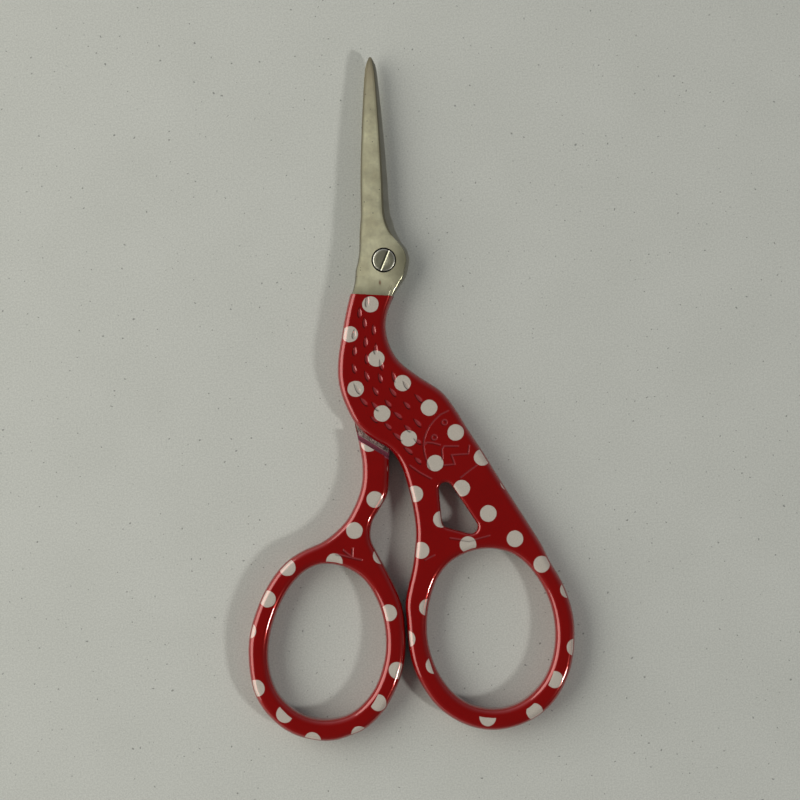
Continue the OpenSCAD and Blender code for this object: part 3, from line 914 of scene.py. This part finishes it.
def makeDots():
    tree, given, out = newGroup(
        "dotPrint", [("Vector", "Vector", None), ("Start", "Vector", (0, 0, 0)), ("Drift", "Float", 0.0)],
        ("Dot",))
    x, y, _ = split(tree, vectorNode(tree, "MULTIPLY", given["Vector"], (1000, 1000, 1000)))
    # the film was stretched towards both ends of the handle
    fromMiddle = minus(tree, y, dots["middle"])
    square = times(tree, fromMiddle, fromMiddle)
    pull = minus(tree, times(tree, square, dots["stretch"]), dots["shift"])
    flat = flatVector(tree, minus(tree, x, times(tree, square, given["Drift"])), mathNode(tree, "ADD", y, pull))
    onLattice = vectorNode(tree, "SUBTRACT", flat, given["Start"])
    # whole steps along the two ways of the lattice are taken off
    (ax, ay), (bx, by) = dots["across"], dots["down"]
    det = ax * by - bx * ay
    rests = []
    for row in ((by / det, -bx / det), (-ay / det, ax / det)):
        steps = vectorNode(tree, "DOT_PRODUCT", onLattice, (*row, 0))
        rests.append(minus(tree, steps, mathNode(tree, "ROUND", steps)))
    away = flatVector(tree, *[mathNode(tree, "ADD", times(tree, rests[0], dots["across"][k]),
                                       times(tree, rests[1], dots["down"][k])) for k in range(2)])
    wobble = times(tree, minus(tree, noiseNode(tree, given["Vector"], 900, 1), 0.5), dots["wobble"])
    edge = mathNode(tree, "ADD", vectorNode(tree, "LENGTH", away), wobble)
    feed(tree, out["Dot"], rangeNode(tree, edge, dots["radius"] + dots["soft"], dots["radius"] - dots["soft"]))
    return tree


grainGroup, patinaGroup, dotPrint = makeGrain(), makePatina(), makeDots()

# Where a mask begins and ends is in metres, and how far a face looks up goes from 0 to 1
# near black for the painted shade in the gap round the screw's head
gapShade = (0.012, 0.011, 0.009)
satin = {
    "bare": 0.72, "rough": (0.34, 0.48), "colour": (0.86, 0.83, 0.57),
    "uneven": ((0.76, 0.75, 0.72), (1.12, 1.12, 1.1)),
    "stain": (0.5, 0.42, 0.25), "stained": 0.45, "pit": (0.12, 0.09, 0.06), "pitted": 0.6,
    "tip": (0.5, 0.42, 0.28), "tipY": (0.022, 0.034), "tipMost": 0.8,
    "mark": (0.22, 0.06, 0.03), "markAt": (-0.91, -3.75), "markWide": 0.5, "markShape": (1.6, 0.75),
    "side": (0.17, 0.15, 0.1), "sideTurn": (0.68, 0.975), "wearAndShade": (0.2, 0.18, 0.11),
    "bossShade": (0.24, 0.23, 0.15), "rightX": (-0.001, 0.0045), "rightY": (0.006, 0.0), "lowY": (-0.002, -0.0065),
    "topZ": (0.0022, 0.0026), "gapR": (0.0022, 0.00214), "gapZ": (0.0042, 0.0041),
    "rimTurn": (0.985, 0.955), "bossY": (0.004, 0.002), "polished": 0.55,
}


def satinSteel():
    material, tree, shader = newMaterial("satinSteel", {"Metallic": satin["bare"]})
    point, up = objectPoint(tree), faceOn(tree)
    x, y, z = split(tree, point)
    grain = placeGroup(tree, grainGroup, Vector=point, Stretch=(1, 0.07, 1), Fine=5200.0)
    patina = placeGroup(tree, patinaGroup, Vector=point, Cloud=260.0, Pits=1500.0)
    base = mixColour(tree, times(tree, patina["Stain"], satin["stained"]), satin["colour"], satin["stain"])
    base = mixColour(tree, 1.0, base, rampNode(tree, grain["Broad"], 0.3, 0.7, *satin["uneven"]), "MULTIPLY")
    # browner towards the point of the blade
    base = mixColour(tree, rangeNode(tree, y, *satin["tipY"], 0, satin["tipMost"]), base, satin["tip"])
    # a small brown mark below the screw
    shape, at = satin["markShape"], satin["markAt"]
    away = vectorNode(tree, "DISTANCE", vectorNode(tree, "MULTIPLY", point, (*shape, 0)),
                      (shape[0] * at[0] * mm, shape[1] * at[1] * mm, 0))
    onTop = rangeNode(tree, z, *satin["topZ"])
    mark = times(tree, rangeNode(tree, away, satin["markWide"] * mm, 0.0, 0, 0.95), onTop)
    base = mixColour(tree, mark, base, satin["mark"])
    base = mixColour(tree, times(tree, patina["Pit"], satin["pitted"]), base, satin["pit"])
    # painted shade: faces are painted darker as they turn from straight up towards the sides
    base = mixColour(tree, rangeNode(tree, up, *satin["sideTurn"]), satin["side"], base)
    # painted shade: darker along the sides of the blade, where its edges turn away from the light
    uneven = rangeNode(tree, grain["Broad"], 0.25, 0.75, 0.65, 1.0)
    base = mixColour(tree, times(tree, attributeNode(tree, "wearAndShade"), uneven), base, satin["wearAndShade"])
    # painted shade on the boss's right, and darker just above the print
    right = times(tree, rangeNode(tree, x, *satin["rightX"]), rangeNode(tree, y, *satin["rightY"]))
    lower = rangeNode(tree, y, *satin["lowY"])
    bossShade = mathNode(tree, "MAXIMUM", times(tree, right, 0.95), times(tree, lower, 0.75))
    base = mixColour(tree, bossShade, base, satin["bossShade"])
    # painted shade: the gap round the screw's head is painted near black
    gap = rangeNode(tree, fromPivot(tree, point), *satin["gapR"])
    gap = times(tree, gap, rangeNode(tree, z, *satin["gapZ"]))
    feed(tree, shader["Base Color"], mixColour(tree, times(tree, gap, onTop), base, gapShade))
    # the boss's rounded rim is polished
    rough = rangeNode(tree, grain["Lines"], 0.0, 1.0, *satin["rough"], "LINEAR")
    rim = times(tree, rangeNode(tree, up, *satin["rimTurn"]), rangeNode(tree, y, *satin["bossY"]))
    rough = times(tree, rough, minus(tree, 1.0, times(tree, rim, satin["polished"])))
    feed(tree, shader["Roughness"], rough)
    addBump(tree, shader, grain["Lines"], 0.35, 0.00002)
    return material


def groundSteel():
    # ground faces: very fine lines across the blade
    material, tree, shader = newMaterial("groundSteel", {"Metallic": 0.75, "Roughness": 0.36})
    grain = placeGroup(tree, grainGroup, Vector=objectPoint(tree), Stretch=(0.05, 1, 1), Fine=22000.0)
    tone = rampNode(tree, grain["Lines"], 0.3, 0.7, (0.54, 0.53, 0.44), (0.66, 0.65, 0.54))
    shade = rampNode(tree, grain["Broad"], 0.3, 0.7, (0.85, 0.85, 0.83), (1.0, 1.0, 1.0))
    feed(tree, shader["Base Color"], mixColour(tree, 1.0, tone, shade, "MULTIPLY"))
    addBump(tree, shader, grain["Lines"], 0.2, 0.00001)
    return material


def forgedSteel():
    # the floor of the lap beside the ledge: left rough, dull and pitted
    material, tree, shader = newMaterial("forgedSteel", {"Metallic": 0.85, "Roughness": 0.5})
    patina = placeGroup(tree, patinaGroup, Vector=objectPoint(tree), Cloud=3200.0, Pits=5200.0)
    tone = mixColour(tree, patina["Stain"], (0.36, 0.27, 0.24), (0.05, 0.025, 0.022))
    feed(tree, shader["Base Color"], mixColour(tree, patina["Pit"], tone, (0.02, 0.01, 0.01)))
    addBump(tree, shader, patina["Stain"], 0.6, 0.00004)
    return material


def turnedSteel():
    # the screw: turned rings round its axis, with a painted highlight round the rim
    material, tree, shader = newMaterial("turnedSteel", {"Metallic": 1})
    point, up = objectPoint(tree), faceOn(tree)
    grain = placeGroup(tree, grainGroup, Vector=point, Stretch=(1, 1, 1), Fine=7000.0)
    rings = addNode(tree, "ShaderNodeTexWave", {"Vector": point, "Scale": 2600, "Distortion": 2.0},
                    wave_type="RINGS", rings_direction="Z").outputs["Fac"]
    both = times(tree, grain["Lines"], rings)
    tone = rampNode(tree, both, 0.1, 0.5, (0.43, 0.42, 0.3), (0.53, 0.52, 0.38))
    radius = fromPivot(tree, point)
    # painted highlight: a paler ring round the head's rim
    tone = mixColour(tree, rangeNode(tree, radius, 0.00155, 0.00178), tone, (0.72, 0.7, 0.6))
    # painted shade: dark in the slot and down the sides, and near black where the head meets its seat
    tone = mixColour(tree, rangeNode(tree, up, 0.2, 0.7), (0.05, 0.045, 0.035), tone)
    below = rangeNode(tree, split(tree, point)[2], *satin["gapZ"])
    gap = times(tree, rangeNode(tree, radius, 0.0018, 0.00184), below)
    feed(tree, shader["Base Color"], mixColour(tree, gap, tone, gapShade))
    feed(tree, shader["Roughness"], rangeNode(tree, grain["Broad"], 0.0, 1.0, 0.3, 0.44, "LINEAR"))
    addBump(tree, shader, both, 0.3, 0.00003)
    return material


printed = {
    "red": (0.212, 0.0008, 0.0006), "deep": (0.172, 0.0005, 0.0004), "white": (0.5, 0.46, 0.395),
    "shade": (0.43, 0.395, 0.335), "glance": (1.0, 0.13, 0.1), "rough": (0.14, 0.26), "lacquer": 0.035,
    "faceTurn": (0.52, 0.64), "skin": (0.0011, 0.0012), "rim": (0.97, 1.03),
    "thinPrintAndSheen": (0.25, 0.04, 0.045), "rimShade": (0.03, 0.0005, 0.0005),
    "thinPrintAndSheenWhite": (0.4, 0.36, 0.31), "rimShadeWhite": (0.08, 0.075, 0.068), "slopeSheen": (0.26, 0.07, 0.105),
}


def slopeSheenMask(tree, point, z):
    # the slope of the ledge where the halves meet, which is given a painted reflection
    turn, (footX, footY) = math.radians(ledge["turn"]), ledge["foot"]
    way = vectorNode(tree, "DOT_PRODUCT", point, (-math.sin(turn), math.cos(turn), 0))
    foot = (-math.sin(turn) * footX + math.cos(turn) * footY) * mm
    along = times(tree, rangeNode(tree, way, foot - 0.0010, foot - 0.0008),
                  rangeNode(tree, way, foot + 0.0004, foot + 0.0002))
    upwards = times(tree, rangeNode(tree, z, 0.00425, 0.00415), rangeNode(tree, z, 0.0019, 0.002))
    return times(tree, along, upwards)


def printedFilm(name, start, drift, ledgeSheen):
    # dark red lacquered print with pale dots on its faces, cut off where the sides turn down
    look = {"IOR": 1.45, "Specular IOR Level": 1.0, "Specular Tint": printed["glance"],
            "Coat Weight": 1.0, "Coat Roughness": printed["lacquer"]}
    material, tree, shader = newMaterial(name, look)
    point, up = objectPoint(tree), faceOn(tree)
    z = split(tree, point)[2]
    dot = placeGroup(tree, dotPrint, Vector=point, Start=(*start, 0.0), Drift=drift)["Dot"]
    fromMiddle = mathNode(tree, "ABSOLUTE", minus(tree, z, 0.5 * build["thick"] * mm))
    onSkin = rangeNode(tree, fromMiddle, *printed["skin"])
    onFace = times(tree, rangeNode(tree, up, *printed["faceTurn"]), onSkin)
    onFace = times(tree, onFace, rangeNode(tree, attributeNode(tree, "fromRim"), *printed["rim"]))
    shown = times(tree, dot, onFace)
    red = mixColour(tree, noiseNode(tree, point, 350, 4, 0.6), printed["deep"], printed["red"])
    speck = rampNode(tree, noiseNode(tree, point, 6500, 2, 0.7), 0.35, 0.62)
    white = mixColour(tree, speck, printed["shade"], printed["white"])
    # marks: a paler tint, partly thin print and partly painted sheen, and painted shade along one side of each
    # rim
    for mark in ("thinPrintAndSheen", "rimShade"):
        mask = attributeNode(tree, mark)
        red = mixColour(tree, mask, red, printed[mark])
        white = mixColour(tree, mask, white, printed[mark + "White"])
    # painted reflection: the ledge's slope is painted mauve, and its dots are left off
    if ledgeSheen:
        slopeSheen = slopeSheenMask(tree, point, z)
        red = mixColour(tree, slopeSheen, red, printed["slopeSheen"])
        shown = times(tree, shown, minus(tree, 1.0, slopeSheen))
    feed(tree, shader["Base Color"], mixColour(tree, shown, red, white))
    smudge = noiseNode(tree, point, 160, 5, 0.65)
    feed(tree, shader["Roughness"], rangeNode(tree, smudge, 0.0, 1.0, *printed["rough"], "LINEAR"))
    addBump(tree, shader, noiseNode(tree, point, 2600, 2, 0.5), 0.15, 0.00002, ("Normal", "Coat Normal"))
    return material


satinMat, groundMat, forgedMat, screwMat = satinSteel(), groundSteel(), forgedSteel(), turnedSteel()
frontFilm = printedFilm("redFilmFront", (1.79, -20.83), 0.0001, False)
backFilm = printedFilm("redFilmBack", (-4.06, -40.28), 0.0008, True)
print("materials ready")

# Painted shade along the sides of the front blade: how dark, to how far in, and how wide that is in mm
paintedEdgeShade = {"spine": (0.85, 1.25, 0.42), "edge": (0.8, 1.2, 0.5), "heelY": 9, "heelLong": 3.5, "heelWider": 0.7}


# paints shade as a point attribute along the blade's spine and edge, wider at the heel
def paintEdgeShade(obj):
    xy = coordsOf(obj)[:, :2]
    x, y = xy.T
    rows = smoothRows(bladeTable(False), 3)
    spineLine, edgeLine = [[(row[k], row[0]) for row in rows] for k in (2, 1)]
    heel = 1 + paintedEdgeShade["heelWider"] * np.clip(1 - np.abs(y - paintedEdgeShade["heelY"]) / paintedEdgeShade["heelLong"], 0, 1)
    dark, most, wide = paintedEdgeShade["spine"]
    wearAndShade = dark * np.clip(most - toLines(xy, [spineLine], []) / wide, 0, 1)
    dark, most, wide = paintedEdgeShade["edge"]
    wearAndShade = np.maximum(wearAndShade, dark * np.clip(most - toLines(xy, [edgeLine], []) / (wide * heel), 0, 1))
    wearAndShade *= np.clip((y + 6) / 3, 0, 1) * np.where(y < 4, x < -2, 1)
    obj.data.attributes.new("wearAndShade", "FLOAT", "POINT").data.foreach_set("value", wearAndShade)


def groundFaces(obj, z, way):
    # the ground faces are those that lie in the lap, or within the hollow
    obj.data.materials.append(groundMat)
    for face in obj.data.polygons:
        if face.normal.z * way > 0.95 and abs(face.center.z / mm - z) < 0.12:
            face.material_index = 1


def roughFaces(obj):
    # the dents that the rough floor left beside the ledge
    obj.data.materials.append(forgedMat)
    turn, (footX, footY) = math.radians(ledge["turn"]), ledge["foot"]
    for face in obj.data.polygons:
        away = Vector((face.center.x / mm - footX, face.center.y / mm - footY))
        beside = 0 < away.dot((-math.sin(turn), math.cos(turn))) < roughStrip["toneWide"]
        beside = beside and abs(away.x) < roughStrip["toneHalf"]
        if beside and face.normal.z > 0.1 and 1.9 < face.center.z / mm < build["halfThick"] - 0.001:
            face.material_index = 2


paintEdgeShade(frontSteel)
finishPiece(frontSteel, satinMat, "front_half", "front")
finishPiece(backSteel, satinMat, "back_half", "back")
groundFaces(frontSteel, build["groundZ"], -1)
groundFaces(backSteel, build["halfThick"], 1)
roughFaces(backSteel)
finishPiece(pivotScrew, screwMat, "pivot_screw", "back", 30)
finishPiece(frontCoat, frontFilm, "front_handle_coat", "front", 50)
finishPiece(backCoat, backFilm, "back_handle_coat", "back", 50)
print("pieces finished")


# Floor, light and camera
paper = {
    "rough": 0.75, "tone": ((0.475, 0.485, 0.44), (0.5, 0.51, 0.465)),
    "tooth": ((0.91, 0.91, 0.91), (1.09, 1.09, 1.09)), "specks": ((1, 1, 1), (0.5, 0.5, 0.5)),
}


def palePaper():
    material, tree, shader = newMaterial("palePaper", {"Roughness": paper["rough"]})
    point = objectPoint(tree)
    tone = rampNode(tree, noiseNode(tree, point, 60, 6, 0.6), 0.3, 0.7, *paper["tone"])
    # fine tooth of the paper, with a few dark specks
    tooth = rampNode(tree, noiseNode(tree, point, 3600, 2, 0.6), 0.36, 0.64, *paper["tooth"])
    specks = rampNode(tree, noiseNode(tree, point, 1500, 1, 0.4), 0.74, 0.77, *paper["specks"])
    for layer in (tooth, specks):
        tone = mixColour(tree, 1.0, tone, layer, "MULTIPLY")
    feed(tree, shader["Base Color"], tone)
    return material


bpy.ops.object.select_all(action="DESELECT")
bpy.ops.mesh.primitive_plane_add(size=4, location=(0, 0, 0))
floor = bpy.context.object
floor.name = "floor"
floor.data.materials.append(palePaper())

camera = {"x": 1.217, "y": -23.60, "z": 402.15, "turn": -3.6, "angle": 19.14}
camData = bpy.data.cameras.new("camera")
camData.angle = math.radians(camera["angle"])
camData.clip_start = 0.01
cam = bpy.data.objects.new("camera", camData)
cam.location = (camera["x"] * mm, camera["y"] * mm, camera["z"] * mm)
cam.rotation_euler = (0, 0, math.radians(camera["turn"]))
scene.collection.objects.link(cam)
scene.camera = cam


def softLamp(name, azimuth, elevation, distance, size, power, colour, aim=(0, -0.024, 0.002)):
    data = bpy.data.lights.new(name, "AREA")
    data.shape = "ELLIPSE"
    data.size, data.size_y = size
    data.energy = power
    data.color = colour
    lamp = bpy.data.objects.new(name, data)
    a, e = math.radians(azimuth), math.radians(elevation)
    way = Vector((math.cos(a) * math.cos(e), math.sin(a) * math.cos(e), math.sin(e)))
    lamp.location = Vector(aim) + way * distance
    lamp.rotation_euler = (-way).to_track_quat("-Z", "Y").to_euler()
    scene.collection.objects.link(lamp)


softLamp("key", -30, 38, 2.0, (0.24, 0.24), 13.9, (1.0, 0.99, 0.98))
softLamp("window", 170, 31, 0.65, (1.0, 0.6), 4.65, (1.0, 0.98, 0.92))

studio = {
    "left": (0.68, 0.68, 0.68), "right": (0.25, 0.25, 0.25), "overhead": (0.075, 0.075, 0.075),
    "behind": (0.35, 0.34, 0.33), "ahead": (1.3, 1.36, 1.5), "wall": (1.5, 1.47, 1.36),
}
world = bpy.data.worlds.new("studio")
scene.world = world
world.use_nodes = True
sky = world.node_tree
skyX, skyY, skyZ = split(sky, addNode(sky, "ShaderNodeTexCoord").outputs["Generated"])
# paler on the left, and a little cooler and brighter beyond the tips than behind the loops
around = rampNode(sky, rangeNode(sky, skyX, -0.7, 0.7), 0, 1, studio["left"], studio["right"])
ahead = rampNode(sky, rangeNode(sky, skyY, -0.6, 0.6), 0, 1, studio["behind"], studio["ahead"])
around = mixColour(sky, 1.0, around, ahead, "MULTIPLY")
# dim overhead, with a pale wall low on the left
fill = mixColour(sky, rangeNode(sky, skyZ, 0.3, 0.97, kind="LINEAR"), around, studio["overhead"])
wall = times(sky, rangeNode(sky, skyZ, 0.28, 0.05), rangeNode(sky, skyX, 0.0, -0.7))
fill = mixColour(sky, wall, fill, studio["wall"])
feed(sky, sky.nodes["Background"].inputs["Color"], fill)
print("floor, light and camera ready")
